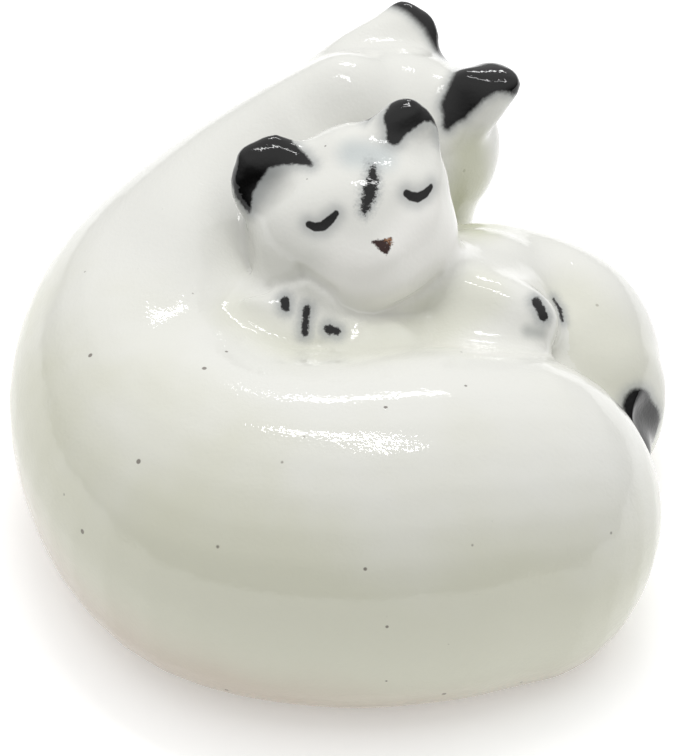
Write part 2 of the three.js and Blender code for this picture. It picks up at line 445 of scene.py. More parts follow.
# Creases cut with the tool, in millimetres: under the chin, and round the left paw.
CHIN_LINE = (
    (-4.14, -4.55, 29.12), (-1.28, -6.01, 27.85), (0.15, -6.46, 26.38), (3.03, -6.16, 25.13),
    (6.91, -4.45, 25.71), (9.2, -2.6, 26.6),
)
PAW_LINES = (
    ((-9.99, -4.74, 25.2), (-6.69, -3.78, 26.66), (-4.14, -4.8, 28.4)),
    (
        (-11.9, -5.6, 24.9), (-10.3, -7.3, 24.9), (-7.5, -9.2, 24.6), (-4.5, -9.9, 24.3),
        (-1.5, -10.0, 23.9),
    ),
)


def sculpt(skin):
    """The modeller's touches on the heads, paws and lap."""
    for frame_of, at, reach, passes in SPONGED:
        skin.soften(frame_of, at, reach, passes)
    # the lap swells up to a crease under the chin
    skin.push(WORLD, (0.6, -8.0, 25.0), (3.6, 2.4, 3.0), (0, 0, 0.7))
    skin.push(WORLD, (5.6, -6.8, 24.4), (2.6, 2.2, 3.0), (0, 0, 0.7))
    skin.press(CHIN_LINE, 0.5, 0.5)
    # the kitten's muzzle and chin, and the hollows of its closed eyes
    face = KITTEN_FACE
    skin.push(face, (8.6, 1.7, 0.3), (3.2, 3.0, 2.4), (0.9, 0, 0))
    skin.push(face, (8.4, 0.4, -3.2), (2.5, 3.2, 1.6), (0.6, 0, -0.1))
    skin.push(face, (7.6, -2.7, 4.4), (2.5, 2.4, 1.5), (-0.4, 0, 0))
    skin.push(face, (6.6, 6.4, 3.8), (2.5, 2.4, 1.5), (-0.4, 0, 0))
    # the right ear leans out, and the temple below it is full
    skin.push(VIEW, (3.6, 5.4, 17.2), (3.0, 2.0, 2.2), (0, 1.5, -0.4))
    skin.push(VIEW, (2.2, 9.2, 10.8), (3.0, 2.0, 2.0), (0, 0.8, 0))
    # cups of the ears
    skin.push(VIEW, (3.6, -6.3, 9.2), (2.5, 2.0, 1.9), (-1.0, 0, 0))
    skin.push(VIEW, (3.8, 8.4, 13.6), (2.5, 1.1, 1.5), (-0.8, 0, 0))
    # the left paw stands clear of the neck and the rump
    for line in PAW_LINES:
        skin.press(line, 0.55, 0.45)
    # tip of the near ear, and the waist above the tail
    skin.push(VIEW, (-10.0, 17.5, 22.5), (3.0, 2.5, 2.5), (0, 0.3, -1.0))
    skin.push(VIEW, (-2.0, 31.8, -13.3), (4.0, 2.2, 2.6), (0, -1.9, 0))
    # the far ear leans to the right
    skin.push(VIEW, (-19.5, 5.8, 31.0), (4.0, 3.2, 2.6), (0, 1.4, 0.1))
    # the left ear stands up in an arch
    skin.push(VIEW, (2.5, -7.3, 13.2), (3.0, 3.0, 2.2), (0, 0, 1.0))
    skin.soften(VIEW, (2.5, -7.4, 13.4), (4.0, 4.2, 2.6), 16)
    skin.push(VIEW, (3.2, -10.7, 11.0), (3.0, 1.6, 1.7), (0, 0.5, 0))
    # the mother's muzzle and the hollows of her closed eyes
    face = MOTHER_FACE
    skin.push(face, (9.0, 0.0, -2.6), (3.4, 3.4, 2.6), (1.3, 0, 0))
    for side in (1, -1):
        skin.push(face, (8.0, 4.3 * side, 1.6), (2.6, 2.6, 1.6), (-0.5, 0, 0))
    # the mother's shoulder falls away outwards, and the kitten's back is full
    skin.push(WORLD, (-21.0, 3.0, 26.0), (5.0, 8.0, 5.0), (0, 0, -0.8))
    skin.push(WORLD, (-14.0, 3.0, 27.0), (4.0, 6.0, 5.0), (0, 0, 0.6))
    skin.push(WORLD, (-16.5, 4.5, 27.0), (5.0, 6.5, 5.0), (0, 0, 0.9))
    skin.push(WORLD, (-16.5, -10.0, 27.0), (4.5, 4.5, 5.0), (0, 0, -0.4))
    skin.push(WORLD, (24.9, 0.2, 19.5), (3.5, 3.5, 4.0), (0, 0, 0.4))


SKIN = {}


def glazed_skin():
    """The skin is formed once and every section is cut from it."""
    if SKIN:
        return SKIN
    settings = bpy.context.scene.figurine_skin
    mesh, skin, names = form_skin(settings)
    centres = skin.co[skin.faces].mean(1)
    _, labels = section_of(centres)
    side = np.sort(np.stack([skin.faces, np.roll(skin.faces, -1, 1)], 2).reshape(-1, 2), axis=1)
    owner = np.repeat(np.arange(len(skin.faces)), 4)
    order = np.lexsort((side[:, 1], side[:, 0]))
    side, owner = side[order], owner[order]
    same = (side[1:] == side[:-1]).all(1)
    pairs = np.stack([owner[1:][same], owner[:-1][same]], 1)
    labels = settle(labels, pairs, BORDER_PASSES)
    SKIN.update(skin=skin, names=names, labels=labels, normals=skin.normals())
    bpy.data.meshes.remove(mesh)
    return SKIN


def cut_section(node, wall, material):
    """Cuts one section out of the skin, gives it its wall and its glaze."""
    made = glazed_skin()
    skin, labels = made["skin"], made["labels"]
    mine = skin.faces[labels == made["names"].index(node)]
    if not len(mine):
        raise RuntimeError(f"no skin lies over {node}")
    used, local = np.unique(mine, return_inverse=True)
    mesh = bpy.data.meshes.new(node)
    mesh.from_pydata((skin.co[used] * MM).tolist(), [], local.reshape(-1, 4).tolist())
    mesh.attributes.new("skin_point", "INT", "POINT").data.foreach_set("value", used.astype(np.int32))
    bm = bmesh.new()
    bm.from_mesh(mesh)
    drop_islands(bm)
    if node == "mother_body":
        open_vent(bm)
    bm.to_mesh(mesh)
    bm.free()
    piece = bpy.data.objects.new(node + "_glazed", mesh)
    bpy.context.scene.collection.objects.link(piece)
    solidify = piece.modifiers.new("Wall", "SOLIDIFY")
    solidify.thickness = wall
    solidify.offset = -1
    walled = bpy.data.meshes.new_from_object(piece.evaluated_get(bpy.context.evaluated_depsgraph_get()))
    piece.modifiers.clear()
    outside = len(mesh.loops)
    piece.data = walled
    bpy.data.meshes.remove(mesh)
    walled.name = node + "_glazed"
    shade(walled, outside, made["normals"])
    walled.materials.clear()
    walled.materials.append(material)
    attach(piece, "root")
    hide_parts(node)
    return piece


def drop_islands(bm):
    """Removes the crumbs of a section that lie away from its main patch."""
    left, patches = set(bm.faces), []
    while left:
        seed = left.pop()
        patch, front = [seed], [seed]
        while front:
            reach = []
            for f in front:
                for e in f.edges:
                    for g in e.link_faces:
                        if g in left:
                            left.discard(g)
                            reach.append(g)
            patch += reach
            front = reach
        patches.append(patch)
    main = max(patches, key=len)
    crumbs = [f for p in patches if p is not main for f in p]
    if crumbs:
        bmesh.ops.delete(bm, geom=crumbs, context="FACES")


def open_vent(bm):
    """Opens the kiln vent in the flat foot and rounds its edge."""
    middle, radius = VENT
    inside = [
        f for f in bm.faces
        if f.calc_center_median().z < FOOT_SLICE
        and (f.calc_center_median().xy - middle.xy).length < radius
    ]
    bmesh.ops.delete(bm, geom=inside, context="FACES")
    for v in bm.verts:
        away = v.co.xy - middle.xy
        if v.is_boundary and v.co.z < FOOT_SLICE and away.length < 1.5 * radius:
            v.co.xy = middle.xy + away.normalized() * radius


def shade(mesh, outside, normals):
    """Takes the skin's own normals on the outer faces, so that the joints don't show in the glaze."""
    mesh.polygons.foreach_set("use_smooth", np.ones(len(mesh.polygons), bool))
    point = np.empty(len(mesh.vertices), np.int32)
    mesh.attributes["skin_point"].data.foreach_get("value", point)
    corner = np.empty(len(mesh.loops), np.int32)
    mesh.loops.foreach_get("vertex_index", corner)
    given = np.zeros((len(mesh.loops), 3))
    given[:outside] = normals[point[corner[:outside]]]
    mesh.normals_split_custom_set(given.tolist())
    mesh.attributes.remove(mesh.attributes["skin_point"])


VENT = vent_hole()


# ---- Glazes ----------------------------------------------

# How much the depth of a stroke counts, so that the brush wraps over a rounded face.
FACE_FLAT = 0.12


class Brush:
    """Short hands for the nodes of one glaze."""

    def __init__(self, name):
        self.material = bpy.data.materials.new(name)
        self.material.use_nodes = True
        self.tree = self.material.node_tree
        self.tree.nodes.clear()
        self.place = self.node("ShaderNodeTexCoord").outputs["Object"]

    def node(self, kind, **settings):
        """A new node with its settings."""
        made = self.tree.nodes.new(kind)
        for name, value in settings.items():
            setattr(made, name, value)
        return made

    def put(self, socket, value):
        """Links a socket to another one, or sets its value."""
        if isinstance(value, bpy.types.NodeSocket):
            self.tree.links.new(value, socket)
        else:
            socket.default_value = value

    def feed(self, node, values):
        """Links or sets the first sockets of a node in order."""
        for socket, value in zip(node.inputs, values):
            self.put(socket, value)

    def math(self, operation, *values, clamp=False):
        """One sum with numbers."""
        made = self.node("ShaderNodeMath", operation=operation, use_clamp=clamp)
        self.feed(made, values)
        return made.outputs[0]

    def vector(self, operation, *values, out=0, scale=None):
        """One sum with vectors; out is 1 where it gives a number."""
        made = self.node("ShaderNodeVectorMath", operation=operation)
        self.feed(made, values)
        if scale is not None:
            self.put(made.inputs["Scale"], scale)
        return made.outputs[out]

    def split(self, vector):
        """The three parts of a vector."""
        made = self.node("ShaderNodeSeparateXYZ")
        self.tree.links.new(vector, made.inputs[0])
        return made.outputs

    def noise(self, place, scale, detail=2.0, rough=0.5):
        """Cloudy noise around one half."""
        made = self.node("ShaderNodeTexNoise")
        self.tree.links.new(place, made.inputs["Vector"])
        made.inputs["Scale"].default_value = scale
        made.inputs["Detail"].default_value = detail
        made.inputs["Roughness"].default_value = rough
        return made.outputs[0]

    def ramp(self, value, low, high, to_low=0.0, to_high=1.0):
        """A soft step from low to high."""
        made = self.node("ShaderNodeMapRange", interpolation_type="SMOOTHSTEP")
        self.feed(made, (value, low, high, to_low, to_high))
        return made.outputs[0]

    def mix(self, share, a, b):
        """Colour a, with a share of colour b over it."""
        made = self.node("ShaderNodeMix", data_type="RGBA")
        for socket, value in ((0, share), (6, a), (7, b)):
            self.put(made.inputs[socket], value)
        return made.outputs[2]

    def local(self, frame_of, flatten=1.0):
        """Object coordinates in millimetres in a local frame, flattened along its X."""
        made = self.node("ShaderNodeMapping", vector_type="TEXTURE")
        self.tree.links.new(self.place, made.inputs["Vector"])
        made.inputs["Location"].default_value = frame_of.translation * MM
        made.inputs["Rotation"].default_value = frame_of.to_euler("XYZ")
        made.inputs["Scale"].default_value = (MM / flatten, MM, MM)
        return made.outputs[0]

    def stroke(self, place, points, nearest=None):
        """Distance in millimetres to a stroke of points (x, y, z, half width) in a flattened frame."""
        points = [(x * FACE_FLAT, y, z, wide) for x, y, z, wide in points]
        for (*a, wide_a), (*b, wide_b) in zip(points[:-1], points[1:]):
            a, b = Vector(a), Vector(b)
            ab = b - a
            from_a = self.vector("SUBTRACT", place, a)
            along = self.vector("DOT_PRODUCT", from_a, ab / max(ab.length_squared, 1e-6), out=1)
            along = self.math("ADD", along, 0.0, clamp=True)
            off = self.vector("SUBTRACT", from_a, self.vector("SCALE", ab, scale=along))
            wide = self.math("MULTIPLY_ADD", along, wide_b - wide_a, wide_a)
            far = self.math("SUBTRACT", self.vector("LENGTH", off, out=1), wide)
            nearest = far if nearest is None else self.math("MINIMUM", nearest, far)
        return nearest

    def ahead_of(self, distance, frame_of, limit):
        """Keeps a stroke only where X in a local frame is over the limit, in millimetres."""
        depth = self.split(self.local(frame_of))[0]
        return self.math("MAXIMUM", distance, self.math("SUBTRACT", limit, depth))

    def dome(self, place, middle, radii):
        """Rough distance in millimetres outside an ellipsoid; below nought inside."""
        spread = self.vector("DIVIDE", self.vector("SUBTRACT", place, middle), radii)
        over = self.math("SUBTRACT", self.vector("LENGTH", spread, out=1), 1.0)
        return self.math("MULTIPLY", over, min(radii))


# Brush strokes in the frame of the kitten's face: x forward, y to its left, z up, half width.
KITTEN_EYES = (
    [
        (7.2, -4.05, 4.85, 0.33), (7.5, -3.6, 4.5, 0.4), (7.7, -2.9, 4.4, 0.42),
        (7.7, -2.0, 4.75, 0.38), (7.5, -1.3, 5.15, 0.25),
    ],
    [
        (6.8, 5.65, 4.45, 0.33), (6.9, 6.0, 4.0, 0.4), (6.7, 6.6, 3.6, 0.42),
        (6.0, 7.4, 3.55, 0.38), (5.0, 8.2, 3.75, 0.25),
    ],
)
KITTEN_STRIPE = [
    (5.4, 3.4, 7.2, 0.35), (6.2, 2.9, 6.5, 0.55), (7.0, 2.3, 5.8, 0.6), (7.6, 1.6, 5.0, 0.45),
    (7.9, 1.25, 4.6, 0.25),
]
KITTEN_NOSE = [
    (9.5, 1.15, 1.9, 0.2), (9.5, 2.65, 1.55, 0.2), (9.9, 1.9, 0.9, 0.3), (9.6, 1.3, 1.75, 0.2),
    (9.7, 1.95, 1.5, 0.4),
]
# The upper side of the kitten's nose, where the brown is painted lighter tan as painted light.
KITTEN_NOSE_LIT_SIDE = [(9.5, 2.3, 2.0, 0.1), (9.5, 2.7, 1.5, 0.1)]

# The same in the frame of the mother's face; her two eyes mirror each other.
MOTHER_EYES = [
    [
        (8, 2.3 * side, 1.9, 0.25), (8, 3.1 * side, 1.2, 0.4), (8, 4.2 * side, 0.9, 0.45),
        (8, 5.4 * side, 1.2, 0.38), (8, 6.3 * side, 1.9, 0.22),
    ]
    for side in (1, -1)
]
MOTHER_NOSE = [
    (12, -0.8, 0.1, 0.3), (12, 0.8, 0.1, 0.3), (12, 0.0, -0.8, 0.35), (12, -0.7, 0.0, 0.3),
    (12, 0, -0.2, 0.5),
]

# Shares of the white glaze for the painted shade low down, towards the front and at the left, and lower still
# for the rosy tone of the body, which adds more painted shade low down and at the left.
PAINTED_SHADE_SHARES = (0.87, 0.87, 0.76)
ROSY_AND_SHADE_SHARES = (0.90, 0.80, 0.80)
IRON_GRAIN = (0.10, 0.075, 0.06, 1)
BLEED_GREY = (0.34, 0.36, 0.365, 1)
SMUDGE_GREY = (0.35, 0.37, 0.36, 1)
# painted shade in the hollow of the kitten's left ear
CUP_SHADE_GREY = (0.20, 0.21, 0.21, 1)
BROW_BLUE = (0.42, 0.49, 0.52, 1)
# painted light on the front of the kitten's face
PAINTED_LIGHT_WHITE = (0.97, 0.96, 0.92, 1)
# painted highlight along the crease under the kitten's chin
PAINTED_HIGHLIGHT_WHITE = (1.0, 1.0, 0.97, 1)
STRAW = (0.70, 0.705, 0.575, 1)
# deep straw glaze, darkened as painted shade
DEEP_STRAW_AND_SHADE = (0.62, 0.63, 0.47, 1)
# painted shade in a straw tint over the kitten's back
STRAW_PAINTED_SHADE = (0.69, 0.69, 0.58, 1)
# painted light on the upper side of the kitten's nose
NOSE_LIGHT_TAN = (0.42, 0.20, 0.09, 1)
# The two tones of the grain of the bare foot, and of the paper on the table.
BISCUIT = ((0.70, 0.66, 0.58, 1), (0.80, 0.77, 0.70, 1))
PAPER = ((0.93, 0.93, 0.93, 1), (0.96, 0.96, 0.96, 1))
# Levels in millimetres between which the painted shade fades into full white, and the rosy tone with its
# painted shade fades out.
PAINTED_SHADE_LEVELS = (8.0, 24.0)
ROSY_AND_SHADE_LEVELS = (12.0, 2.0)
# Pinholes: how close they stand, the share that holds iron, and the smallest and largest radius.
PINHOLE_SCALE = 0.55
PINHOLE_SHARE = 0.10
PINHOLE_RADII = (0.05, 0.13)
# Scale and height in millimetres of the slow ripple and the fine peel of the glaze.
RIPPLE = (0.5, 0.05)
PEEL = (2.4, 0.034)
DIMPLE = 0.03


def tinted(colour, shares):
    """A colour multiplied by shares of its red, green and blue."""
    return tuple(c * f for c, f in zip(colour[:3], shares)) + (1,)


def white_with_painted_shade(brush, mm, pale):
    """Painted shade: darker and warmer low down, towards the front and at the left, full white on the upper
    faces and the faces of the kitten; the rosy tone low down is partly painted shade too.
    """
    white = tuple(bpy.context.scene.figurine_glaze.white)
    across, back, up = brush.split(mm)
    cloud = brush.math("SUBTRACT", brush.noise(mm, 0.07, 3.0), 0.5)
    level = brush.math("MULTIPLY_ADD", cloud, 20.0, up)
    level = brush.math("MULTIPLY_ADD", back, 0.3, level)
    level = brush.math("MULTIPLY_ADD", across, 0.2, level)
    # painted shade, darkest on the low, front and left faces
    shaded = tinted(white, PAINTED_SHADE_SHARES)
    colour = brush.mix(brush.ramp(level, *PAINTED_SHADE_LEVELS, pale, 1.0), shaded, white)
    # the rosy tone of the body showing through, with painted shade low down and at the left
    low = brush.math("MULTIPLY_ADD", across, 0.16, up)
    low = brush.math("MULTIPLY_ADD", cloud, 8.0, low)
    return brush.mix(brush.ramp(low, *ROSY_AND_SHADE_LEVELS), colour, tinted(shaded, ROSY_AND_SHADE_SHARES))


def pinholes(brush, mm):
    """Share of the scattered pinholes, each with a grain of iron in it."""
    holes = brush.node("ShaderNodeTexVoronoi", feature="F1")
    brush.tree.links.new(mm, holes.inputs["Vector"])
    holes.inputs["Scale"].default_value = PINHOLE_SCALE
    pick = brush.node("ShaderNodeSeparateColor")
    brush.tree.links.new(holes.outputs["Color"], pick.inputs[0])
    chosen = brush.math("LESS_THAN", pick.outputs[0], PINHOLE_SHARE)
    size = brush.ramp(pick.outputs[1], 0.0, 1.0, *PINHOLE_RADII)
    speck = brush.math("SUBTRACT", holes.outputs["Distance"], size)
    return brush.math("MULTIPLY", brush.ramp(speck, 0.03, -0.03), chosen)


def brushed_nose(brush, colour, nose, rag, fine):
    """Iron brown over the nose, with painted light in tan on its upper side."""
    brown = tuple(bpy.context.scene.figurine_glaze.nose)
    lit_side = brush.stroke(brush.local(KITTEN_FACE, FACE_FLAT), KITTEN_NOSE_LIT_SIDE)
    # painted light: tan on the nose's upper side
    lit = brush.math("MULTIPLY_ADD", fine, 1.6, lit_side)
    lit_brown = brush.mix(brush.ramp(lit, 1.05, 0.55), brown, NOSE_LIGHT_TAN)
    edge = brush.math("MULTIPLY_ADD", rag, 0.9, nose)
    return brush.mix(brush.ramp(edge, 0.10, -0.10), colour, lit_brown)


def finish_glaze(brush, strokes, washes, nose=None, pale=0.0, foot=False):
    """White glaze and its pinholes, tinted by the washes and painted with the strokes and the nose.

    A wash is a distance in millimetres, its reach, tint and strength. A stroke is a distance, the
    softness and raggedness of its edge, and the reach and strength of its grey bleed.
    """
    black = tuple(bpy.context.scene.figurine_glaze.black)
    mm = brush.vector("SCALE", brush.place, scale=1 / MM)
    colour = white_with_painted_shade(brush, mm, pale)
    speck = pinholes(brush, mm)
    colour = brush.mix(brush.math("MULTIPLY", speck, 0.75), colour, IRON_GRAIN)
    # the broken edge that a brush leaves
    fine = brush.noise(mm, 7.0, 2.0, 0.6)
    rag = brush.math("MULTIPLY", brush.noise(mm, 2.6, 3.0, 0.6), 0.7)
    rag = brush.math("ADD", rag, brush.math("MULTIPLY", fine, 0.3))
    rag = brush.math("SUBTRACT", rag, 0.5)
    for distance, reach, tint, strength in washes:
        share = brush.math("MULTIPLY", brush.ramp(distance, reach, -min(reach, 0.3)), strength)
        colour = brush.mix(share, colour, tint)
    for distance, soft, ragged, bleed, strength in strokes:
        edge = brush.math("MULTIPLY_ADD", rag, ragged, distance)
        glow = brush.ramp(edge, bleed, 0.0)
        glow = brush.math("MULTIPLY", brush.math("MULTIPLY", glow, glow), strength)
        colour = brush.mix(glow, colour, BLEED_GREY)
        colour = brush.mix(brush.ramp(edge, soft, -soft), colour, black)
    if nose is not None:
        colour = brushed_nose(brush, colour, nose, rag, fine)
    shader = brush.node("ShaderNodeBsdfPrincipled")
    shader.inputs["Roughness"].default_value = 0.07
    shader.inputs["IOR"].default_value = 1.5
    brush.tree.links.new(colour, shader.inputs["Base Color"])
    # the surface of a thick glaze, and the dimple of each pinhole
    height = brush.math("MULTIPLY", speck, -DIMPLE)
    for scale, rise in (PEEL, RIPPLE):
        height = brush.math("MULTIPLY_ADD", brush.noise(mm, scale, 1.0), rise, height)
    bump = brush.node("ShaderNodeBump")
    bump.inputs["Strength"].default_value = 0.6
    bump.inputs["Distance"].default_value = MM
    brush.tree.links.new(height, bump.inputs["Height"])
    brush.tree.links.new(bump.outputs[0], shader.inputs["Normal"])
    out = brush.node("ShaderNodeOutputMaterial")
    brush.tree.links.new(shader.outputs[0], out.inputs["Surface"])
    if foot:
        bare_foot(brush, shader, out)
    return brush.material


def bare_foot(brush, shader, out):
    """The foot that stands on the kiln shelf is wiped clean of glaze."""
    biscuit = brush.node("ShaderNodeBsdfPrincipled")
    grain = brush.noise(brush.vector("SCALE", brush.place, scale=1 / MM), 5.0, 4.0)
    tone = brush.mix(grain, *BISCUIT)
    brush.tree.links.new(tone, biscuit.inputs["Base Color"])
    biscuit.inputs["Roughness"].default_value = 0.85
    share = brush.ramp(brush.split(brush.place)[2], 0.12 * MM, 0.05 * MM)
    both = brush.node("ShaderNodeMixShader")
    brush.tree.links.new(share, both.inputs[0])
    brush.tree.links.new(shader.outputs[0], both.inputs[1])
    brush.tree.links.new(biscuit.outputs[0], both.inputs[2])
    brush.tree.links.new(both.outputs[0], out.inputs["Surface"])


def plain_glaze():
    """The mother's body."""
    brush = Brush("white_glaze")
    return finish_glaze(brush, [toe_marks(brush)], pooled_and_painted_light(brush), foot=True)


def ear_back(brush, frame_of, base, middle, radii):
    """Distance to the black on the back of an ear, above its base and behind its rim."""
    place = brush.local(frame_of)
    forward, _, up = brush.split(place)
    above = brush.math("SUBTRACT", base, up)
    ahead = brush.math("ADD", forward, 0.9)
    return brush.math("MAXIMUM", brush.math("MAXIMUM", above, ahead), brush.dome(place, middle, radii))


# Strokes square on to the best side: the rims of the kitten's ears and the mother's.
KITTEN_RIMS = (
    [(3.6, -9.2, 6.7, 0.2), (3.6, -9.7, 8.6, 0.95), (3.6, -9.5, 10.9, 1.9), (3.6, -8.3, 12.6, 1.9),
     (3.6, -6.7, 12.9, 1.9), (3.6, -5.3, 12.3, 1.15), (3.6, -4.2, 11.8, 0.7), (3.6, -3.15, 11.1, 0.25)],
    [(3.7, 4.9, 13.7, 0.75), (3.7, 5.5, 15.6, 1.6), (3.7, 7.0, 17.4, 2.2), (3.7, 8.8, 17.0, 1.6),
     (3.7, 9.6, 15.2, 0.55), (3.7, 9.7, 13.6, 0.25)],
)
MOTHER_NEAR_RIM = [
    (-10, 10.9, 16.9, 0.5), (-10, 11.8, 18.9, 1.6), (-10, 13.5, 21.3, 2.2), (-10, 15.4, 22.0, 1.9),
    (-10, 17.0, 21.7, 1.5), (-10, 17.9, 21.2, 1.2),
]
MOTHER_FAR_RIM = [
    (-20, 5.6, 32.6, 1.0), (-20, 8.4, 32.0, 2.0), (-20, 10.8, 30.2, 2.5), (-20, 11.8, 26.6, 1.7),
]


def kitten_face_glaze():
    """The kitten's head and ears."""
    brush = Brush("kitten_face_glaze")
    face = brush.local(KITTEN_FACE, FACE_FLAT)
    view = brush.local(VIEW, FACE_FLAT)
    eyes = brush.stroke(face, KITTEN_EYES[0])
    eyes = brush.stroke(face, KITTEN_EYES[1], eyes)
    stripe = brush.stroke(face, KITTEN_STRIPE)
    nose = brush.stroke(face, KITTEN_NOSE)
    black = brush.stroke(view, KITTEN_RIMS[0])
    black = brush.stroke(view, KITTEN_RIMS[1], black)
    for side in (1, -1):
        back = ear_back(brush, KITTEN_EAR_POSE[side], 1.4, (-1.0, 0, 3.2), (3.2, 2.7, 4.0))
        black = brush.math("MINIMUM", black, back)
    brow = brush.stroke(view, [(6, 1.0, 12.0, 0.6), (6, 3.6, 11.6, 0.6)])
    # painted shade in the hollow of the left ear
    ear_cup_shade = brush.stroke(view, [(3.6, -8.3, 8.6, 0.6), (3.6, -7.2, 10.3, 0.6)])
    # painted light: the front of the kitten's face and cheeks are lightened
    lit_cheek = brush.stroke(view, [(6, 0.5, 0.5, 1.4), (6, 4.0, -0.8, 1.4), (5, 8.5, 4.5, 2.0)])
    washes = pooled_and_painted_light(brush) + [
        (lit_cheek, 3.0, PAINTED_LIGHT_WHITE, 0.9), (brow, 2.0, BROW_BLUE, 0.5), (ear_cup_shade, 2.4, CUP_SHADE_GREY, 0.65),
    ]
    strokes = [
        (black, 0.18, 0.5, 1.8, 0.6), (eyes, 0.07, 0.15, 1.6, 0.5), (stripe, 0.16, 1.5, 1.2, 0.6),
        toe_marks(brush),
    ]
    return finish_glaze(brush, strokes, washes, nose, pale=0.75)


def mother_face_glaze():
    """The mother's head and ears; the brush stops behind each ear."""
    brush = Brush("mother_face_glaze")
    view = brush.local(VIEW, FACE_FLAT)
    near = brush.ahead_of(brush.stroke(view, MOTHER_NEAR_RIM), VIEW, -14.5)
    far = brush.ahead_of(brush.stroke(view, MOTHER_FAR_RIM), VIEW, -22.6)
    face = brush.local(MOTHER_FACE, FACE_FLAT)
    eyes = brush.stroke(face, MOTHER_EYES[0])
    eyes = brush.stroke(face, MOTHER_EYES[1], eyes)
    eyes = brush.ahead_of(eyes, MOTHER_FACE, 2.0)
    nose = brush.ahead_of(brush.stroke(face, MOTHER_NOSE), MOTHER_FACE, 2.0)
    strokes = [(near, 0.35, 0.5, 1.6, 0.6), (far, 0.5, 0.4, 1.6, 0.6), (eyes, 0.08, 0.15, 1.4, 0.5)]
    return finish_glaze(brush, strokes, pooled_and_painted_light(brush), nose)


# Toe marks in the frame of VIEW.
TOES = (
    [(4.9, -5.6, -2.15, 0.46), (4.9, -5.5, -2.85, 0.42)],
    [(4.9, -3.5, -2.9, 0.38), (4.9, -3.7, -5.3, 0.40)],
    [(4.9, -1.4, -4.9, 0.52), (4.9, -0.6, -5.15, 0.45)],
    [(4.6, 18.7, -2.15, 0.48), (4.6, 19.3, -3.55, 0.50)],
    [(-2.9, 21.2, -1.6, 0.16), (-2.3, 21.75, -2.7, 0.22), (-1.3, 21.85, -3.8, 0.16)],
)


# Where the glaze has run together, in the frame of VIEW: the lap, and the nook between the mother's
# cheek and the kitten's back, which is painted shade as well; and a painted highlight along the crease under
# the chin.
LAP = [
    (5, -10.5, -3.2, 0.6), (5, -4.5, -6.6, 0.5), (5, 3.0, -5.6, 1.0), (4, 9.0, -4.2, 1.3),
    (3, 13.0, -1.5, 1.6),
]
SHADED_NOOK = [(-10, 13.6, 14.0, 0.8), (-10, 14.3, 8.0, 1.6)]
CHIN_HIGHLIGHT_LINE = [
    (6, -1.28, -1.01, 0.05), (6, -0.14, -2.54, 0.08), (6, 1.4, -3.21, 0.09), (6, 2.93, -3.35, 0.09),
    (4.6, 4.79, -2.77, 0.08), (3.9, 6.74, -1.68, 0.05),
]


def pooled_and_painted_light(brush):
    """The washes of pooled glaze, which shows its own straw green where it is deep; the nook is painted shade
    as well, and the line in the crease under the chin is a painted highlight.
    """
    view = brush.local(VIEW, FACE_FLAT)
    return [
        (brush.stroke(view, LAP), 2.6, STRAW, 0.45),
        # painted shade in the nook under the mother's cheek, in a deep straw tint
        (brush.stroke(view, SHADED_NOOK), 3.0, DEEP_STRAW_AND_SHADE, 0.8),
        # painted highlight: a white line along the crease under the chin
        (brush.stroke(view, CHIN_HIGHLIGHT_LINE), 0.09, PAINTED_HIGHLIGHT_WHITE, 1.0),
    ]


def toe_marks(brush):
    """The brush touches between the toes, which run over onto the neighbouring sections."""
    view = brush.local(VIEW, FACE_FLAT)
    toes = None
    for points in TOES:
        toes = brush.stroke(view, points, toes)
    return (toes, 0.10, 0.7, 1.5, 0.65)


def paw_glaze():
    """The kitten's forepaws, with a smudge under the toes of the right one."""
    brush = Brush("paw_glaze")
    view = brush.local(VIEW, FACE_FLAT)
    smudge = brush.stroke(view, [(4, 17.8, -5.0, 0.3), (4, 19.0, -5.2, 0.2)])
    washes = pooled_and_painted_light(brush) + [(smudge, 0.9, SMUDGE_GREY, 0.6)]
    return finish_glaze(brush, [toe_marks(brush)], washes)


def tail_glaze():
    """The kitten's back and its tail, black from the root down, with painted shade in a straw tint over the
    back.
    """
    brush = Brush("kitten_back_glaze")
    view = brush.local(VIEW, FACE_FLAT)
    line = [(-1.5, 29.6, -12.3, 1.75), (-1.5, 30.5, -14.0, 2.2), (-1.5, 31.2, -17.5, 2.9)]
    tail = brush.ahead_of(brush.stroke(view, line), VIEW, -7.0)
    # painted shade in a straw tint over the kitten's back
    back = brush.stroke(view, [(-2, 23.0, -3.0, 2.0), (-2, 27.0, -7.5, 2.5)])
    strokes = [(tail, 0.3, 0.5, 1.8, 0.6), toe_marks(brush)]
    return finish_glaze(brush, strokes, pooled_and_painted_light(brush) + [(back, 4.5, STRAW_PAINTED_SHADE, 0.6)], foot=True)


GLAZES = {}


def glaze_for(name):
    """Each glaze is mixed once and shared by its sections."""
    makers = {
        "white": plain_glaze, "kitten_face": kitten_face_glaze, "mother_face": mother_face_glaze,
        "paw": paw_glaze, "tail": tail_glaze,
    }
    if name not in GLAZES:
        GLAZES[name] = makers[name]()
    return GLAZES[name]


# ---- Operators -------------------------------------------


class FigurineOperator:
    """What the steps for the sections have in common."""

    bl_options = {"REGISTER", "UNDO"}
    sections = ()
    glaze = "white"
    slots = {}
    thick = False

    def execute(self, context):
        settings = context.scene.figurine_skin
        wall = settings.wall if self.thick else settings.thin_wall
        for node in self.sections:
            cut_section(node, wall, glaze_for(self.glaze))
        return {"FINISHED"}


class FIGURINE_OT_mother_body(FigurineOperator, Operator):
    """Casts and glazes the hollow body of the mother with its foot and vent"""

    bl_idname = "figurine.mother_body"
    bl_label = "Mother's body"
    sections = ("mother_body",)
    thick = True


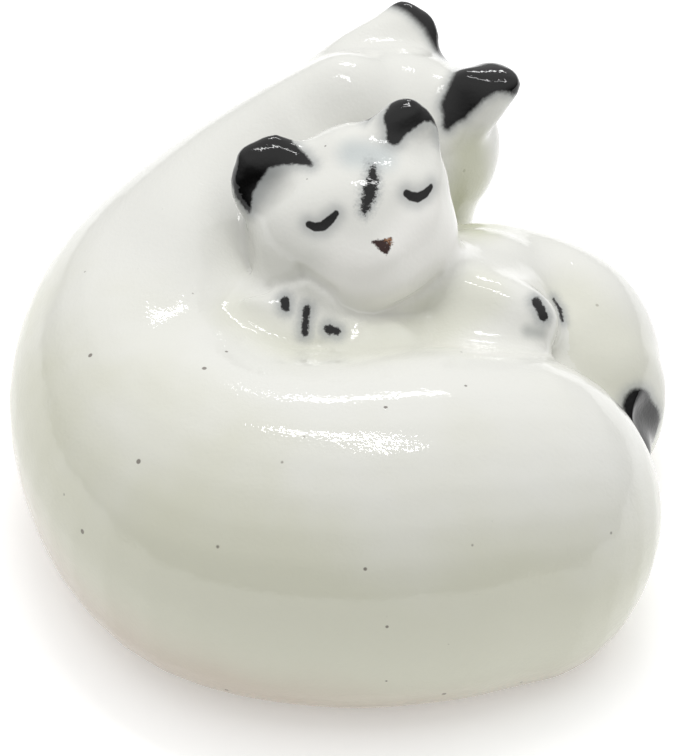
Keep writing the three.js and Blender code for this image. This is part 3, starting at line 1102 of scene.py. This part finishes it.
class FIGURINE_OT_mother_head(FigurineOperator, Operator):
    """Glazes the mother's head and both her ears"""

    bl_idname = "figurine.mother_head"
    bl_label = "Mother's head and ears"
    sections = ("mother_head",) + MOTHER_EARS
    slots = {"mother_right_ear": "black_glaze"}
    glaze = "mother_face"


class FIGURINE_OT_kitten_head(FigurineOperator, Operator):
    """Glazes the kitten's head and ears and paints its face"""

    bl_idname = "figurine.kitten_head"
    bl_label = "Kitten's head and ears"
    sections = ("kitten_head",) + KITTEN_EARS
    slots = dict.fromkeys(KITTEN_EARS, "black_glaze")
    glaze = "kitten_face"


class FIGURINE_OT_kitten_back(FigurineOperator, Operator):
    """Glazes the kitten's back and its black tail"""

    bl_idname = "figurine.kitten_back"
    bl_label = "Kitten's back and tail"
    sections = ("kitten_body", "kitten_tail")
    slots = {"kitten_tail": "black_glaze"}
    glaze = "tail"


class FIGURINE_OT_kitten_paws(FigurineOperator, Operator):
    """Glazes the kitten's forepaws and marks their toes"""

    bl_idname = "figurine.kitten_paws"
    bl_label = "Kitten's paws"
    sections = PAWS
    glaze = "paw"


def area_light(name, at, aim, size, watts, turn=0.0):
    """A soft light of size (wide, high), in metres, turned by degrees in its own plane."""
    data = bpy.data.lights.new(name, "AREA")
    data.shape = "RECTANGLE"
    data.size, data.size_y = size
    data.energy = watts
    light = bpy.data.objects.new(name, data)
    light.location = at
    facing = (Vector(aim) - Vector(at)).to_track_quat("-Z", "Y")
    light.rotation_euler = (facing @ Quaternion((0, 0, 1), math.radians(turn))).to_euler()
    bpy.context.scene.collection.objects.link(light)
    return light


# Height in metres that all the lights are turned to.
AIM_HEIGHT = 0.02
# The tent: how far a light from behind counts as high, then the ramp from dim to bright.
TENT_LEAN = 0.35
TENT_RAMP = (-0.26, 0.92, 0.02, 0.80)


def studio():
    """A pale tent: bright above and behind, dimmer at the front, where the camera looks in."""
    world = bpy.data.worlds.new("studio")
    world.use_nodes = True
    tree = world.node_tree
    turn = tree.nodes.new("ShaderNodeTexCoord")
    split = tree.nodes.new("ShaderNodeSeparateXYZ")
    tree.links.new(turn.outputs["Generated"], split.inputs[0])
    tilt = tree.nodes.new("ShaderNodeMath")
    tilt.operation = "MULTIPLY_ADD"
    tree.links.new(split.outputs[1], tilt.inputs[0])
    tilt.inputs[1].default_value = TENT_LEAN
    tree.links.new(split.outputs[2], tilt.inputs[2])
    ramp = tree.nodes.new("ShaderNodeMapRange")
    ramp.interpolation_type = "SMOOTHSTEP"
    tree.links.new(tilt.outputs[0], ramp.inputs[0])
    for socket, value in zip(ramp.inputs[1:], TENT_RAMP):
        socket.default_value = value
    back = tree.nodes["Background"]
    back.inputs[0].default_value = (1, 1, 1, 1)
    tree.links.new(ramp.outputs[0], back.inputs[1])
    return world


class FIGURINE_OT_stage(Operator):
    """Sets the table, the lights and the camera"""

    bl_idname = "figurine.stage"
    bl_label = "Table, lights and camera"
    bl_options = {"REGISTER", "UNDO"}

    def execute(self, context):
        scene = context.scene
        settings = scene.figurine_stage
        bm = bmesh.new()
        bmesh.ops.create_grid(bm, x_segments=1, y_segments=1, size=3.0)
        mesh = bpy.data.meshes.new("table")
        bm.to_mesh(mesh)
        bm.free()
        table = bpy.data.objects.new("table", mesh)
        scene.collection.objects.link(table)
        paper = Brush("table_paper")
        shader = paper.node("ShaderNodeBsdfPrincipled")
        shader.inputs["Roughness"].default_value = 0.9
        shader.inputs["Specular IOR Level"].default_value = 0.1
        grain = paper.noise(paper.place, 40.0, 2.0)
        tone = paper.mix(grain, *PAPER)
        paper.tree.links.new(tone, shader.inputs["Base Color"])
        shader.inputs["Emission Color"].default_value = (1, 1, 1, 1)
        shader.inputs["Emission Strength"].default_value = 0.26
        out = paper.node("ShaderNodeOutputMaterial")
        paper.tree.links.new(shader.outputs[0], out.inputs["Surface"])
        mesh.materials.append(paper.material)

        scene.world = studio()
        scene.view_settings.view_transform = "Standard"
        scene.view_settings.look = "None"

        # a long window of light overhead and a second behind, both across the figurine
        area_light("overhead", (0, 0.09, 0.42), (0, 0, AIM_HEIGHT), (0.16, 0.020), 0.17, -30)
        area_light("behind", (0.0275, 0.40, 0.37), (0.0275, 0, AIM_HEIGHT), (0.135, 0.026), 0.175, -6)
        # the soft light of the tent's roof, which is too even to mirror in the glaze
        ceiling = area_light("ceiling", (0, 0.05, 0.70), (0, 0, AIM_HEIGHT), (0.7, 0.5), 1.60)
        ceiling.visible_glossy = False

        camera = bpy.data.cameras.new("camera")
        camera.lens = settings.lens
        camera.clip_start, camera.clip_end = 0.005, 10
        eye = bpy.data.objects.new("camera", camera)
        rise = settings.elevation
        back = Vector((0, -math.cos(rise), math.sin(rise)))
        eye.location = Vector(settings.aim) + back * settings.distance
        eye.rotation_euler = (-back).to_track_quat("-Z", "Y").to_euler()
        scene.collection.objects.link(eye)
        scene.camera = eye
        return {"FINISHED"}


class FIGURINE_PT_panel(Panel):
    """Sizes, colours and steps of the figurine"""

    bl_label = "Cat figurine"
    bl_space_type = "VIEW_3D"
    bl_region_type = "UI"
    bl_category = "Figurine"

    def draw(self, context):
        layout = self.layout
        for key, kind in GROUPS.items():
            box = layout.box()
            for name in kind.__annotations__:
                box.prop(getattr(context.scene, key), name)
        for step in STEPS:
            layout.operator(step.bl_idname)


STEPS = (
    FIGURINE_OT_mother_body, FIGURINE_OT_mother_head, FIGURINE_OT_kitten_back,
    FIGURINE_OT_kitten_head, FIGURINE_OT_kitten_paws, FIGURINE_OT_stage,
)
GROUPS = {
    "figurine_skin": FigurineSkinSettings,
    "figurine_glaze": FigurineGlazeSettings,
    "figurine_stage": FigurineStageSettings,
}
CLASSES = tuple(GROUPS.values()) + STEPS + (FIGURINE_PT_panel,)


def register():
    """Makes the settings, the steps and the panel known to Blender."""
    for cls in CLASSES:
        bpy.utils.register_class(cls)
    for name, group in GROUPS.items():
        setattr(bpy.types.Scene, name, PointerProperty(type=group))


def unregister():
    """Takes them away again."""
    for name in GROUPS:
        delattr(bpy.types.Scene, name)
    for cls in reversed(CLASSES):
        bpy.utils.unregister_class(cls)


def main():
    """Registers the steps and runs them in order."""
    register()
    for step in STEPS:
        group, name = step.bl_idname.split(".")
        getattr(getattr(bpy.ops, group), name)()
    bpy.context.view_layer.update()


if __name__ == "__main__":
    main()
